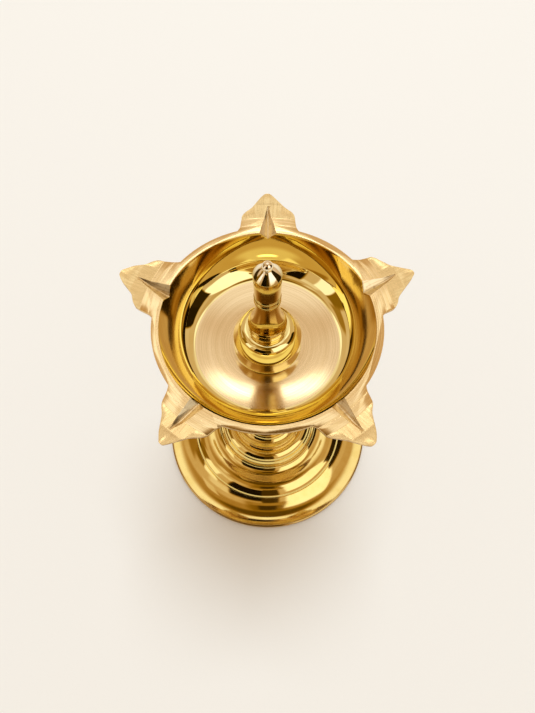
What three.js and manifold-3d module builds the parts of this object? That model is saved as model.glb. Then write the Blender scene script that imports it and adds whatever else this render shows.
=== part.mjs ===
// A standing brass oil lamp with five wick spouts. Units are millimetres and +Z is up.
// The origin is the centre of the foot's resting ring, on the surface that the lamp stands on.
import * as THREE from 'three';
import { mergeVertices } from 'three/addons/utils/BufferGeometryUtils.js';
import Module from 'manifold-3d';

const wasm = await Module();
wasm.setup();

// Foot: a hollow casting, turned in bands from the crown in its middle out to the lip
const crownRadius = 14.5;
const crownThickness = 4;
const neckCoveWidth = 4.8;
const neckCoveRise = 5;
const upperRidgeWidth = 1.6;
const upperRidgeSlope = 0.5;
const upperRidgeRise = 1.5;
const upperGrooveWidth = 1.8;
const upperGrooveRise = 0.5;
const upperBandWidth = 5.4;
const upperBandRise = 4;
const upperBandShoulder = 1.4;
const lowerRidgeWidth = 2.1;
const lowerRidgeRise = 1.5;
const footCoveWidth = 6.8;
const footCoveRise = 4.5;
const lowerBandWidth = 11.3;
const lowerBandRise = 6;
const lowerBandShoulder = 2.8;
const bandStepDrop = 0.9;
const bandStepHeight = 2.1;
const flangeWidth = 15.8;
const flangeRise = 4;
const flangeDip = 0.9;
const flangeLowReach = 7.1;
const lipWidth = 1.2;
const lipHeight = 3;
const lipRound = 1.2;
const footWall = 3;
const restWidth = 5;
const nutPocketRadius = 11.5;

// Stem: a turned baluster, in order from its bottom end to its top end
const stemEndRadius = 13.6;
const stemBaseHeight = 2.6;
const lowerCoveHeight = 4.4;
const neckRadius = 7.4;
const ankleBeadHeight = 3.4;
const beadBulge = 2.3;
const filletHeight = 0.8;
const vaseHeight = 25;
const vaseRadius = 12.4;
const vaseBellyHeight = 11.3;
const vaseFootRound = 1.3;
const vaseShoulderHeight = 7.5;
const knopHeight = 5;
const knopBulge = 3.6;
const columnHeight = 27.1;
const columnBulge = 1.3;
const collarBeadHeight = 3.4;
const capitalHeight = 10;
const stemCapHeight = 4;
const capInset = 1.4;

// Oil bowl: collar, pan and middle boss
const collarRadius = 12.6;
const collarLandHeight = 1.6;
const collarCoveWidth = 5.6;
const collarCoveHeight = 5.4;
const collarStepHeight = 2.7;
const collarStepSide = 2.2;
const collarStepSpread = 2.7;
const floorThickness = 3.4;
const floorRadius = 31.8;
const floorDish = 1.9;
const floorDishCorner = 21.5;
const floorCoveWidth = 6.8;
const floorCoveHeight = 7.1;
const bowlDepth = 18.8;
const rimRadius = 47;
const rimWidth = 3;
const rimThickness = 1.6;
const panWall = 2.4;
const bossRadius = 14.6;
const bossSideHeight = 8.2;
const bossBevelWidth = 2.3;
const bossBevelHeight = 4.7;
const bossTopRise = 2.4;

// Spouts: flat pointed plates level with the rim, with a V groove for the wick
const spoutCount = 5;
const spoutReach = 63.8;
const spoutRootHalfWidth = 13.3;
const spoutRootOverlap = 2.4;
const spoutRootFlare = 0.9;
const shoulderHalfWidth = 11.9;
const waistHalfWidth = 7.9;
const spoutCornerRound = 1.2;
const spoutCornerEase = 0.4;
const noseHalfWidth = 3.2;
const noseCornerHalfWidth = 2.2;
const noseCornerInset = 0.3;
const noseTipHalfWidth = 0.8;
const noseLength = 1.5;
const secondBendRise = 1.5;
const tipRise = 3.4;
const spoutThickness = 1.6;
const grooveDepth = 2.9;
const grooveHalfWidth = 3.9;
const grooveBendDepth = 1.45;
const keelWall = 1.5;

// Where the spout changes, as shares of its overhang past the rim
const bendShare = 0.327;
const shoulderShare = 0.333;
const waistShare = 0.571;
const grooveShare = 0.613;
const secondBendShare = 0.685;

// Finial: a turned spindle, from its lip up to its ball
const finialLipRadius = 8;
const finialLipHeight = 4.7;
const lipGrooveDepth = 0.5;
const lipGrooveWidth = 0.9;
const flareHeight = 15.7;
const flareFootHeight = 3.1;
const flareTopRadius = 4.6;
const flareEase = 0.6;
const rodRadius = 5;
const rodSwell = 0.2;
const rodHeight = 11.8;
const smallBeadHeight = 2.5;
const smallBeadBulge = 0.6;
const beadGrooveWidth = 0.35;
const coneHeight = 3.3;
const coneTopRadius = 1.7;
const coneBulgeRadius = 3.6;
const coneBulgeHeight = 2;
const ballRadius = 2.05;

// Threaded studs, washer and nut. The crests of the threads are plain here, and each hole clears them.
const footStudRadius = 4;
const bowlStudRadius = 4;
const finialStudRadius = 3;
const threadClearance = 0.15;
const studEndGap = 0.5;
const studChamfer = 0.6;
const stemStudGrip = 14;
const stemStudTail = 15;
const bowlStudGrip = 8.5;
const bowlStudReach = 10;
const finialStudGrip = 11;
const finialStudReach = 11.5;
const washerRadius = 9;
const washerThickness = 1.6;
const nutWidth = 13;
const nutHeight = 6.5;
const nutChamfer = 0.9;

// Clearance between two pieces that rest on each other
const seatGap = 0.1;

// Facets, and the distance within which two vertices are one
const wideFacets = 40;
const slimFacets = 20;
const curveSteps = 3;
const softCurveSteps = 5;
const mergeDistance = 1e-4;

// How far a cutting body reaches past the face that it cuts
const cutOver = 1;

const footHeight = lipHeight + flangeRise + lowerBandRise + footCoveRise + lowerRidgeRise
  + upperBandRise + upperGrooveRise + upperRidgeRise + neckCoveRise;
const footRadius = crownRadius + neckCoveWidth + upperRidgeWidth + upperGrooveWidth + upperBandWidth
  + lowerRidgeWidth + footCoveWidth + lowerBandWidth + flangeWidth + lipWidth;
const bowlFloor = collarLandHeight + collarCoveHeight + collarStepHeight + floorThickness;
const floorEdge = bowlFloor + floorDish;
const rimTop = floorEdge + bowlDepth;
const rimInner = rimRadius - rimWidth;
const [bendReach, shoulderReach, waistReach, grooveReach, secondBendReach] = [
  bendShare, shoulderShare, waistShare, grooveShare, secondBendShare,
].map((share) => rimRadius + share * (spoutReach - rimRadius));
const coveOuter = floorRadius + floorCoveWidth;
const wallLean = (rimInner - coveOuter) / (bowlDepth - floorCoveHeight);
const bossTop = bowlFloor + bossSideHeight + bossBevelHeight + bossTopRise;

const brassColour = new THREE.Color(0.83, 0.62, 0.26);
const steelColour = new THREE.Color(0.62, 0.61, 0.58);
const polished = 0.15;
const brushed = 0.25;
const threaded = 0.3;
const machined = 0.35;

function metal(colour, roughness) {
  return new THREE.MeshStandardMaterial({ color: colour, roughness, metalness: 1 });
}

// A profile pen that walks along a turned outline in radius and height
class Outline {
  constructor(radius, height) {
    this.points = [new THREE.Vector2(radius, height)];
  }

  get last() {
    return this.points[this.points.length - 1];
  }

  to(radius, height) {
    this.points.push(new THREE.Vector2(radius, height));
    return this;
  }

  by(widening, rise) {
    return this.to(this.last.x + widening, this.last.y + rise);
  }

  // A curve that leaves towards the corner point and arrives from it
  curve(corner, end, steps = curveSteps) {
    const bend = new THREE.QuadraticBezierCurve(this.last.clone(), corner, end);
    this.points.push(...bend.getPoints(steps).slice(1));
    return this;
  }

  // A hollow curve, level where it starts and upright where it ends, or the other way round
  cove(widening, rise, levelFirst = true) {
    const start = this.last;
    const end = new THREE.Vector2(start.x + widening, start.y + rise);
    const corner = levelFirst ? new THREE.Vector2(end.x, start.y) : new THREE.Vector2(start.x, end.y);
    return this.curve(corner, end);
  }

  // A rounded band that stands out from the outline by its bulge
  bead(rise, bulge, steps = curveSteps) {
    const start = this.last;
    const end = new THREE.Vector2(start.x, start.y + rise);
    const corner = new THREE.Vector2(start.x + 2 * bulge, start.y + rise / 2);
    return this.curve(corner, end, steps);
  }
}

// Turns an outline about the vertical axis. The outline runs anticlockwise: outwards below and back above.
function turned(outline, facets) {
  return new THREE.LatheGeometry(outline.points, facets).rotateX(Math.PI / 2);
}

// Joins the vertices that faces share, and leaves out the slivers at the poles
function closed(geometry) {
  const bare = new THREE.BufferGeometry();
  bare.setAttribute('position', geometry.getAttribute('position').clone());
  if (geometry.index) {
    bare.setIndex(geometry.index.clone());
  }
  const merged = mergeVertices(bare, mergeDistance);
  const corners = [];
  for (let i = 0; i < merged.index.count; i += 3) {
    const [a, b, c] = [0, 1, 2].map((k) => merged.index.getX(i + k));
    if (a !== b && b !== c && c !== a) {
      corners.push(a, b, c);
    }
  }
  merged.setIndex(corners);
  return merged;
}

function solid(geometry) {
  const merged = closed(geometry);
  return new wasm.Manifold(new wasm.Mesh({
    numProp: 3,
    vertProperties: new Float32Array(merged.getAttribute('position').array),
    triVerts: new Uint32Array(merged.index.array),
  }));
}

function geometryOf(body) {
  const mesh = body.getMesh();
  const geometry = new THREE.BufferGeometry();
  geometry.setAttribute('position', new THREE.BufferAttribute(mesh.vertProperties, 3));
  geometry.setIndex(new THREE.BufferAttribute(mesh.triVerts, 1));
  geometry.computeVertexNormals();
  return geometry;
}

// A closed solid through equal rings of points, with its first and last ring filled as fans
function lofted(rings) {
  const positions = rings.flat(2);
  const count = rings[0].length;
  const corners = [];
  for (let r = 0; r + 1 < rings.length; r += 1) {
    for (let i = 0; i < count; i += 1) {
      const j = (i + 1) % count;
      const [a, b, c, d] = [r * count + i, r * count + j, (r + 1) * count + j, (r + 1) * count + i];
      corners.push(a, b, c, a, c, d);
    }
  }
  const top = (rings.length - 1) * count;
  for (let i = 1; i + 1 < count; i += 1) {
    corners.push(0, i + 1, i, top, top + i, top + i + 1);
  }
  const geometry = new THREE.BufferGeometry();
  geometry.setAttribute('position', new THREE.Float32BufferAttribute(positions, 3));
  geometry.setIndex(corners);
  return geometry;
}

function part(name, geometry, material, height) {
  const mesh = new THREE.Mesh(geometry, material);
  mesh.name = name;
  mesh.position.z = height;
  return mesh;
}

// The outside is walked from the resting ring up to the crown. The underside follows its stations, one wall
// lower and one wall further in.
function footGeometry() {
  const flangeInner = footRadius - lipWidth - flangeWidth;
  const bandInner = flangeInner - lowerBandWidth;
  const coveInner = bandInner - footCoveWidth;
  const flangeTop = lipHeight + flangeRise;
  const bandTop = flangeTop + lowerBandRise;
  const coveTop = bandTop + footCoveRise;
  const upperBandInner = coveInner - lowerRidgeWidth - upperBandWidth;
  const upperBandTop = coveTop + lowerRidgeRise + upperBandRise;
  const holeRadius = footStudRadius + threadClearance;
  const outline = new Outline(footRadius - restWidth, 0)
    .to(footRadius, 0)
    .by(0, lipHeight - lipRound)
    .curve(new THREE.Vector2(footRadius, lipHeight), new THREE.Vector2(footRadius - lipWidth, lipHeight))
    .curve(new THREE.Vector2(flangeInner + flangeLowReach, lipHeight - flangeDip),
      new THREE.Vector2(flangeInner, flangeTop - bandStepDrop), softCurveSteps)
    .by(0, bandStepHeight)
    .curve(new THREE.Vector2(flangeInner - lowerBandShoulder, bandTop), new THREE.Vector2(bandInner, bandTop),
      softCurveSteps)
    .cove(-footCoveWidth, footCoveRise)
    .by(-lowerRidgeWidth / 2, 0)
    .by(-lowerRidgeWidth / 2, lowerRidgeRise)
    .curve(new THREE.Vector2(upperBandInner + upperBandWidth - upperBandShoulder, upperBandTop),
      new THREE.Vector2(upperBandInner, upperBandTop))
    .by(-upperGrooveWidth / 2, -upperGrooveRise)
    .by(-upperGrooveWidth / 2, 2 * upperGrooveRise)
    .by(-upperRidgeSlope, upperRidgeRise)
    .by(upperRidgeSlope - upperRidgeWidth, 0)
    .cove(-neckCoveWidth, neckCoveRise)
    .to(holeRadius, footHeight)
    .to(holeRadius, footHeight - crownThickness)
    .to(nutPocketRadius, footHeight - crownThickness)
    .to(upperBandInner - footWall, upperBandTop - footWall)
    .to(coveInner - footWall, coveTop - footWall)
    .to(bandInner - footWall, bandTop - footWall)
    .to(flangeInner - footWall, flangeTop - footWall)
    .to(footRadius - restWidth, 0);
  return geometryOf(solid(turned(outline, wideFacets)));
}

const stemHeight = stemBaseHeight + lowerCoveHeight + ankleBeadHeight + 4 * filletHeight + vaseHeight
  + knopHeight + columnHeight + collarBeadHeight + capitalHeight + stemCapHeight;

function stemGeometry() {
  const lowerHole = footStudRadius + threadClearance;
  const upperHole = bowlStudRadius + threadClearance;
  const outline = new Outline(0, stemStudGrip + studEndGap)
    .to(lowerHole, stemStudGrip + studEndGap)
    .to(lowerHole, 0)
    .to(stemEndRadius - capInset / 2, 0)
    .bead(stemBaseHeight, capInset / 2)
    .cove(neckRadius - stemEndRadius + capInset / 2, lowerCoveHeight)
    .bead(ankleBeadHeight, beadBulge)
    .by(0, filletHeight);
  const vaseStart = outline.last.clone();
  const vaseBelly = vaseStart.y + vaseBellyHeight;
  outline
    .curve(new THREE.Vector2(vaseRadius, vaseStart.y + vaseFootRound),
      new THREE.Vector2(vaseRadius, vaseBelly), softCurveSteps)
    .curve(new THREE.Vector2(vaseRadius, vaseBelly + vaseShoulderHeight),
      new THREE.Vector2(neckRadius, vaseStart.y + vaseHeight), softCurveSteps)
    .by(0, filletHeight)
    .bead(knopHeight, knopBulge, softCurveSteps)
    .by(0, filletHeight)
    .bead(columnHeight, columnBulge, softCurveSteps)
    .bead(collarBeadHeight, beadBulge)
    .by(0, filletHeight)
    .cove(stemEndRadius - capInset - neckRadius, capitalHeight, false)
    .bead(stemCapHeight, capInset)
    .to(upperHole, stemHeight)
    .to(upperHole, stemHeight - bowlStudReach - studEndGap)
    .to(0, stemHeight - bowlStudReach - studEndGap);
  return geometryOf(solid(turned(outline, slimFacets)));
}

// Walks down the inside of the pan, from the rim's inner edge over the dished floor to the foot of the boss
function alongPanInside(outline) {
  return outline
    .to(rimInner, rimTop)
    .to(coveOuter, floorEdge + floorCoveHeight)
    .curve(new THREE.Vector2(coveOuter - wallLean * floorCoveHeight, floorEdge),
      new THREE.Vector2(floorRadius, floorEdge), softCurveSteps)
    .curve(new THREE.Vector2(floorDishCorner, bowlFloor), new THREE.Vector2(bossRadius, bowlFloor));
}

function panGeometry() {
  const lowerHole = bowlStudRadius + threadClearance;
  const upperHole = finialStudRadius + threadClearance;
  const stepRadius = collarRadius + collarCoveWidth;
  const undersideHeight = bowlFloor - floorThickness;
  const coveOutside = coveOuter + panWall;
  const underCorner = coveOutside - wallLean * (floorCoveHeight + floorThickness);
  const bossLandRadius = finialLipRadius + lipGrooveDepth;
  const outline = new Outline(0, bowlStudGrip + studEndGap)
    .to(lowerHole, bowlStudGrip + studEndGap)
    .to(lowerHole, 0)
    .to(collarRadius, 0)
    .by(0, collarLandHeight)
    .cove(collarCoveWidth, collarCoveHeight, false)
    .by(0, collarStepSide)
    .to(stepRadius + collarStepSpread, undersideHeight)
    .to(floorRadius - panWall, floorEdge - floorThickness)
    .curve(new THREE.Vector2(underCorner, floorEdge - floorThickness),
      new THREE.Vector2(coveOutside, floorEdge + floorCoveHeight), softCurveSteps)
    .to(coveOutside + wallLean * (bowlDepth - floorCoveHeight - rimThickness), rimTop - rimThickness)
    .to(rimRadius, rimTop - rimThickness)
    .to(rimRadius, rimTop);
  alongPanInside(outline)
    .by(0, bossSideHeight)
    .by(-bossBevelWidth, bossBevelHeight)
    .to(bossLandRadius, bossTop)
    .to(upperHole, bossTop)
    .to(upperHole, bossTop - finialStudReach - studEndGap)
    .to(0, bossTop - finialStudReach - studEndGap);
  return turned(outline, wideFacets);
}

// The hollow of the pan, which trims what is joined to its outside
function hollowGeometry() {
  const above = 2 * tipRise;
  const outline = new Outline(0, rimTop + above).to(rimInner, rimTop + above);
  alongPanInside(outline).to(0, bowlFloor);
  outline.points.reverse();
  return turned(outline, wideFacets);
}

// Half the spout's width at points along its reach, from inside the rim to the rounded nose
function spoutEdge() {
  const path = new THREE.Path();
  path.moveTo(rimRadius - spoutRootOverlap, spoutRootHalfWidth + spoutRootFlare);
  path.quadraticCurveTo(rimRadius, spoutRootHalfWidth,
    rimRadius + spoutCornerRound, spoutRootHalfWidth - spoutCornerEase);
  path.lineTo(shoulderReach - spoutCornerRound, shoulderHalfWidth);
  path.quadraticCurveTo(shoulderReach + spoutCornerRound, shoulderHalfWidth - spoutCornerEase,
    waistReach, waistHalfWidth);
  path.lineTo(spoutReach - noseLength, noseHalfWidth);
  path.quadraticCurveTo(spoutReach - noseCornerInset, noseCornerHalfWidth, spoutReach, noseTipHalfWidth);
  return path.getPoints(curveSteps);
}

// How far the spout's plate is bent up at a given reach. It bends twice, and is flat between.
function bendHeight(reach) {
  const firstShare = (reach - bendReach) / (secondBendReach - bendReach);
  const secondShare = (reach - secondBendReach) / (spoutReach - secondBendReach);
  return secondBendRise * THREE.MathUtils.clamp(firstShare, 0, 1)
    + (tipRise - secondBendRise) * THREE.MathUtils.clamp(secondShare, 0, 1);
}

// Adds a point to an edge where it crosses a given reach
function withStation(points, reach) {
  const next = points.findIndex((point) => point.x > reach);
  const [before, after] = [points[next - 1], points[next]];
  const share = (reach - before.x) / (after.x - before.x);
  return [...points.slice(0, next), before.clone().lerp(after, share), ...points.slice(next)];
}

function spoutPlate() {
  const edge = [bendReach, secondBendReach].reduce(withStation, spoutEdge());
  const rings = edge.map((point) => {
    const top = rimTop + bendHeight(point.x);
    return [
      [point.x, -point.y, top],
      [point.x, -point.y, top - spoutThickness],
      [point.x, point.y, top - spoutThickness],
      [point.x, point.y, top],
    ];
  });
  return lofted(rings);
}

// How deep the groove is under the spout's face. It runs out on the bent nose.
function grooveDepthAt(reach) {
  if (reach > bendReach) {
    return grooveBendDepth * (grooveReach - reach) / (grooveReach - bendReach);
  }
  return grooveBendDepth + (grooveDepth - grooveBendDepth) * (bendReach - reach) / (bendReach - rimInner);
}

// A V-shaped bar along the spout. Its lower edge is the groove's, lowered by a wall, and its top follows the
// spout's face at the given height above it.
function grooveBar(wall, above) {
  const slope = grooveHalfWidth / grooveDepth;
  const rings = [coveOuter, bendReach, grooveReach].map((reach) => {
    const face = rimTop + bendHeight(reach);
    const low = grooveDepthAt(reach) + wall;
    const half = slope * (low + above);
    return [
      [reach, -half, face + above],
      [reach, 0, face - low],
      [reach, half, face + above],
    ];
  });
  return lofted(rings);
}

function oilBowlGeometry() {
  const keelTop = -spoutThickness / 2;
  const plate = solid(spoutPlate());
  const hollow = solid(hollowGeometry());
  const keel = solid(grooveBar(keelWall, keelTop)).subtract(hollow);
  const groove = solid(grooveBar(0, tipRise));
  let bowl = solid(panGeometry());
  const turns = Array.from({ length: spoutCount }, (_, i) => 90 + (i * 360) / spoutCount);
  for (const turn of turns) {
    bowl = bowl.add(plate.rotate([0, 0, turn])).add(keel.rotate([0, 0, turn]));
  }
  for (const turn of turns) {
    bowl = bowl.subtract(groove.rotate([0, 0, turn]));
  }
  return geometryOf(bowl);
}

function finialGeometry() {
  const hole = finialStudRadius + threadClearance;
  const landHeight = (finialLipHeight - lipGrooveWidth) / 2;
  const outline = new Outline(0, finialStudGrip + studEndGap)
    .to(hole, finialStudGrip + studEndGap)
    .to(hole, 0)
    .to(finialLipRadius, 0)
    .by(0, landHeight)
    .by(-lipGrooveDepth, lipGrooveWidth / 2)
    .by(lipGrooveDepth, lipGrooveWidth / 2)
    .by(0, landHeight)
    .curve(new THREE.Vector2(flareTopRadius + flareEase, finialLipHeight + flareFootHeight),
      new THREE.Vector2(flareTopRadius, finialLipHeight + flareHeight), softCurveSteps)
    .bead(smallBeadHeight, smallBeadBulge)
    .by(0, beadGrooveWidth)
    .bead(smallBeadHeight, smallBeadBulge)
    .by(0, beadGrooveWidth)
    .by(rodRadius - flareTopRadius, 0)
    .by(rodSwell, rodHeight);
  const coneFoot = outline.last.clone();
  const coneTop = new THREE.Vector2(coneTopRadius, coneFoot.y + coneHeight);
  const ballCentre = coneTop.y + Math.sqrt(ballRadius ** 2 - coneTopRadius ** 2);
  const startAngle = Math.atan2(coneTop.y - ballCentre, coneTopRadius);
  outline.curve(new THREE.Vector2(coneBulgeRadius, coneFoot.y + coneBulgeHeight), coneTop);
  for (let i = 1; i < softCurveSteps; i += 1) {
    const angle = startAngle + (i / softCurveSteps) * (Math.PI / 2 - startAngle);
    outline.to(ballRadius * Math.cos(angle), ballCentre + ballRadius * Math.sin(angle));
  }
  outline.to(0, ballCentre + ballRadius);
  return geometryOf(solid(turned(outline, slimFacets)));
}

// A stud's zero height is the joint between the two pieces that it holds
function studGeometry(radius, below, above) {
  const outline = new Outline(0, -below)
    .to(radius - studChamfer, -below)
    .by(studChamfer, studChamfer)
    .to(radius, above - studChamfer)
    .by(-studChamfer, studChamfer)
    .to(0, above);
  return geometryOf(solid(turned(outline, slimFacets)));
}

function washerGeometry() {
  const hole = footStudRadius + threadClearance;
  const outline = new Outline(hole, 0)
    .to(washerRadius, 0)
    .to(washerRadius, washerThickness)
    .to(hole, washerThickness)
    .to(hole, 0);
  return geometryOf(solid(turned(outline, slimFacets)));
}

// A hexagon bar cut to the shape that chamfering both ends leaves, with its hole
function nutGeometry() {
  const cornerRadius = nutWidth / 2 / Math.cos(Math.PI / 6);
  const hexagon = new THREE.Shape();
  for (let i = 0; i < 6; i += 1) {
    const angle = (i * Math.PI) / 3;
    const step = i === 0 ? 'moveTo' : 'lineTo';
    hexagon[step](cornerRadius * Math.cos(angle), cornerRadius * Math.sin(angle));
  }
  const bar = new THREE.ExtrudeGeometry(hexagon, { depth: nutHeight, bevelEnabled: false });
  const envelope = new Outline(0, 0)
    .to(nutWidth / 2, 0)
    .to(cornerRadius, nutChamfer)
    .to(cornerRadius, nutHeight - nutChamfer)
    .to(nutWidth / 2, nutHeight)
    .to(0, nutHeight);
  const hole = new Outline(0, -cutOver)
    .to(footStudRadius + threadClearance, -cutOver)
    .to(footStudRadius + threadClearance, nutHeight + cutOver)
    .to(0, nutHeight + cutOver);
  const body = solid(bar)
    .intersect(solid(turned(envelope, wideFacets)))
    .subtract(solid(turned(hole, slimFacets)));
  return geometryOf(body);
}

const stemSeat = footHeight + seatGap;
const bowlSeat = stemSeat + stemHeight + seatGap;
const finialSeat = bowlSeat + bossTop + seatGap;
const washerSeat = footHeight - crownThickness - seatGap - washerThickness;
const nutSeat = washerSeat - seatGap - nutHeight;

const stemStud = studGeometry(footStudRadius, stemStudTail, stemStudGrip);
const bowlStud = studGeometry(bowlStudRadius, bowlStudReach, bowlStudGrip);
const finialStud = studGeometry(finialStudRadius, finialStudReach, finialStudGrip);

const lamp = new THREE.Group();
lamp.add(
  part('foot', footGeometry(), metal(brassColour, polished), 0),
  part('foot_washer', washerGeometry(), metal(steelColour, machined), washerSeat),
  part('foot_nut', nutGeometry(), metal(steelColour, machined), nutSeat),
  part('stem_stud', stemStud, metal(brassColour, threaded), stemSeat),
  part('stem', stemGeometry(), metal(brassColour, polished), stemSeat),
  part('bowl_stud', bowlStud, metal(brassColour, threaded), bowlSeat),
  part('oil_bowl', oilBowlGeometry(), metal(brassColour, brushed), bowlSeat),
  part('finial_stud', finialStud, metal(brassColour, threaded), finialSeat),
  part('finial', finialGeometry(), metal(brassColour, polished), finialSeat),
);

export default lamp;
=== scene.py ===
"""A standing brass oil lamp with five wick spouts: its pieces, their finishes, and a plain pale studio."""

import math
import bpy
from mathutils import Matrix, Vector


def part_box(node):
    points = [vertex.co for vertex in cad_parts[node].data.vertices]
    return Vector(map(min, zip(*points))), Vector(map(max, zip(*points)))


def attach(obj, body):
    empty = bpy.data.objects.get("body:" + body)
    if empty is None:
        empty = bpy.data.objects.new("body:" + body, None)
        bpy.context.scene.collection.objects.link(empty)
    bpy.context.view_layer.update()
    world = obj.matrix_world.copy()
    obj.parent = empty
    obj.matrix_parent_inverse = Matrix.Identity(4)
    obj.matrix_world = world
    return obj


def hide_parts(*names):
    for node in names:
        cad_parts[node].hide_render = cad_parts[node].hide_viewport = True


bl_info = {
    "name": "Five-Spout Brass Oil Lamp",
    "version": (1, 0, 0),
    "blender": (4, 5, 0),
    "location": "View3D > Sidebar > Oil Lamp",
    "description": "Models a turned brass oil lamp, its finishes and a plain studio",
    "category": "Object",
}

import bpy
from mathutils import Vector

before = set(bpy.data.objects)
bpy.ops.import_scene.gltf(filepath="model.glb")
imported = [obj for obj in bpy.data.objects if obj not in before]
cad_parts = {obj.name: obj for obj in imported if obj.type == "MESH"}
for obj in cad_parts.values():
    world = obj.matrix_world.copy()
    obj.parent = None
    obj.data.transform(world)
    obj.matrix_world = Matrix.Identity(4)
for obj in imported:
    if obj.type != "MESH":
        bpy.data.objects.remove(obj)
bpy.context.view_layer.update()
MM = 0.001


def cad_low(node):
    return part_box(node)[0]


def cad_high(node):
    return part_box(node)[1]


# Turned profiles, in millimetres. Steps are along curves and around the axis.
TURN_STEPS = 192
SLIM_STEPS = 96
CURVE_STEPS = 12
EASE_STEPS = 4
EASE = 0.22

# In metres: points that are merged after each step, and after the bowl and the nut are cut
WELD = 2e-6
CUT_WELD = 1.2e-5

# Faces that meet at less than this lie in one plane, in degrees
FLAT_ANGLE = 0.3

# A place off every plane of symmetry, in metres
OFF_SYMMETRY = (0.3137, 0.7719, 1.1931)

# Width of the ring on which the foot rests, and radii of the holes for the studs, in millimetres
RESTING_RING = 5.0
STUD_HOLE = 4.15
FINIAL_HOLE = 3.15

# Rim, spouts and grooves of the oil bowl, in millimetres. A groove's slope is its half width over its depth.
RIM_RADIUS = 47.0
RIM_INNER = 44.0
RIM_THICKNESS = 1.6
BEND_REACH = 52.5
SECOND_BEND_REACH = 58.5
SECOND_BEND_RISE = 1.5
PLATE_REACH = 67.0
TIP_RISE = 3.4
TIP_BEND_END = 63.8
GROOVE_SLOPE = 1.345
KEEL_WALL = 1.5
FACING_REACH = 48.6
FACING_STEP = 0.05
SPOUT_COUNT = 5
FIRST_SPOUT_TURN = 90.0
COVE_OUTER = 39.4
COVE_HEIGHT = 7.1
FLOOR_RADIUS = 31.8
BOWL_DEPTH = 18.8
FLOOR_DISH = 1.9
FLOOR_DISH_CORNER = 21.5
FLOOR_THICKNESS = 3.4
PAN_WALL = 2.4
BOSS_RADIUS = 14.6
WALL_LEAN = (RIM_INNER - COVE_OUTER) / (BOWL_DEPTH - COVE_HEIGHT)


class Outline:
    """A pen that walks along a turned profile in radius and height, and eases its corners"""

    def __init__(self, radius, height, ease=EASE):
        self.corners = [(radius, height, ease)]

    def to(self, radius, height, ease=EASE):
        self.corners.append((radius, height, ease))
        return self

    def by(self, widening, rise, ease=EASE):
        radius, height, _ = self.corners[-1]
        return self.to(radius + widening, height + rise, ease)

    def curve(self, corner, end, ease=EASE, steps=CURVE_STEPS):
        start = Vector(self.corners[-1][:2])
        corner, end = Vector(corner), Vector(end)
        for i in range(1, steps + 1):
            t = i / steps
            point = start * (1 - t) ** 2 + corner * (2 * t * (1 - t)) + end * t ** 2
            self.to(point.x, point.y, ease if i == steps else 0)
        return self

    def cove(self, widening, rise, level_first=True, ease=EASE):
        radius, height, _ = self.corners[-1]
        end = (radius + widening, height + rise)
        corner = (end[0], height) if level_first else (radius, end[1])
        return self.curve(corner, end, ease)

    def bead(self, rise, bulge, ease=EASE):
        radius, height, _ = self.corners[-1]
        return self.curve((radius + 2 * bulge, height + rise / 2), (radius, height + rise), ease)

    def points(self):
        return eased(self.corners)


def eased(corners, closed=False):
    """Rounds each corner by its ease. A point beside it keeps the flats flat when they are shaded."""
    path = []
    count = len(corners)
    for i, (a, b, ease) in enumerate(corners):
        here = Vector((a, b))
        ended = not closed and i in (0, count - 1)
        if ease <= 0 or ended:
            path.append(here)
            continue
        before = Vector(corners[i - 1][:2])
        after = Vector(corners[(i + 1) % count][:2])
        back, ahead = before - here, after - here
        cut = min(ease, 0.4 * back.length, 0.4 * ahead.length)
        start = here + back.normalized() * cut
        end = here + ahead.normalized() * cut
        if back.length > 5 * cut:
            path.append(here + back.normalized() * cut * 1.6)
        for step in range(EASE_STEPS + 1):
            t = step / EASE_STEPS
            path.append(start * (1 - t) ** 2 + here * (2 * t * (1 - t)) + end * t ** 2)
        if ahead.length > 5 * cut:
            path.append(here + ahead.normalized() * cut * 1.6)
    return path


def deselect_all():
    bpy.ops.object.select_all(action="DESELECT")


def select_only(piece):
    deselect_all()
    piece.select_set(True)
    bpy.context.view_layer.objects.active = piece


def start_line(name, place):
    """Adds a plane, merges it to one point, and stays in edit mode with that point selected"""
    deselect_all()
    bpy.ops.mesh.primitive_plane_add(size=MM, location=(0, 0, 0))
    piece = bpy.context.object
    piece.name = name
    piece.data.name = name
    bpy.ops.object.mode_set(mode="EDIT")
    bpy.ops.mesh.merge(type="CENTER")
    bpy.ops.transform.translate(value=place)
    return piece


def draw_on(places):
    """Extrudes the selected point from place to place"""
    for before, after in zip(places, places[1:]):
        step = Vector(after) - Vector(before)
        bpy.ops.mesh.extrude_vertices_move(TRANSFORM_OT_translate={"value": step})


def weld():
    bpy.ops.mesh.select_all(action="SELECT")
    bpy.ops.mesh.remove_doubles(threshold=WELD)
    bpy.ops.mesh.normals_make_consistent(inside=False)


def turn(name, points, height=0.0, steps=TURN_STEPS):
    """Turns a profile of radii and heights, in millimetres, about the lamp's axis"""
    places = [(radius * MM, 0, (level + height) * MM) for radius, level in points]
    piece = start_line(name, places[0])
    draw_on(places)
    bpy.ops.mesh.select_all(action="SELECT")
    bpy.ops.mesh.spin(steps=steps, angle=math.tau, center=(0, 0, 0), axis=(0, 0, 1))
    weld()
    bpy.ops.object.mode_set(mode="OBJECT")
    bpy.ops.object.shade_smooth()
    return piece


def prism(name, loop, low, high):
    """Draws a closed loop of places in plan, in millimetres, and extrudes it from low to high"""
    places = [(x * MM, y * MM, low * MM) for x, y in loop]
    piece = start_line(name, places[0])
    draw_on(places)
    bpy.ops.mesh.select_all(action="SELECT")
    bpy.ops.mesh.edge_face_add()
    bpy.ops.mesh.select_all(action="SELECT")
    bpy.ops.mesh.extrude_region_move(TRANSFORM_OT_translate={"value": (0, 0, (high - low) * MM)})
    weld()
    bpy.ops.object.mode_set(mode="OBJECT")
    return piece


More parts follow.
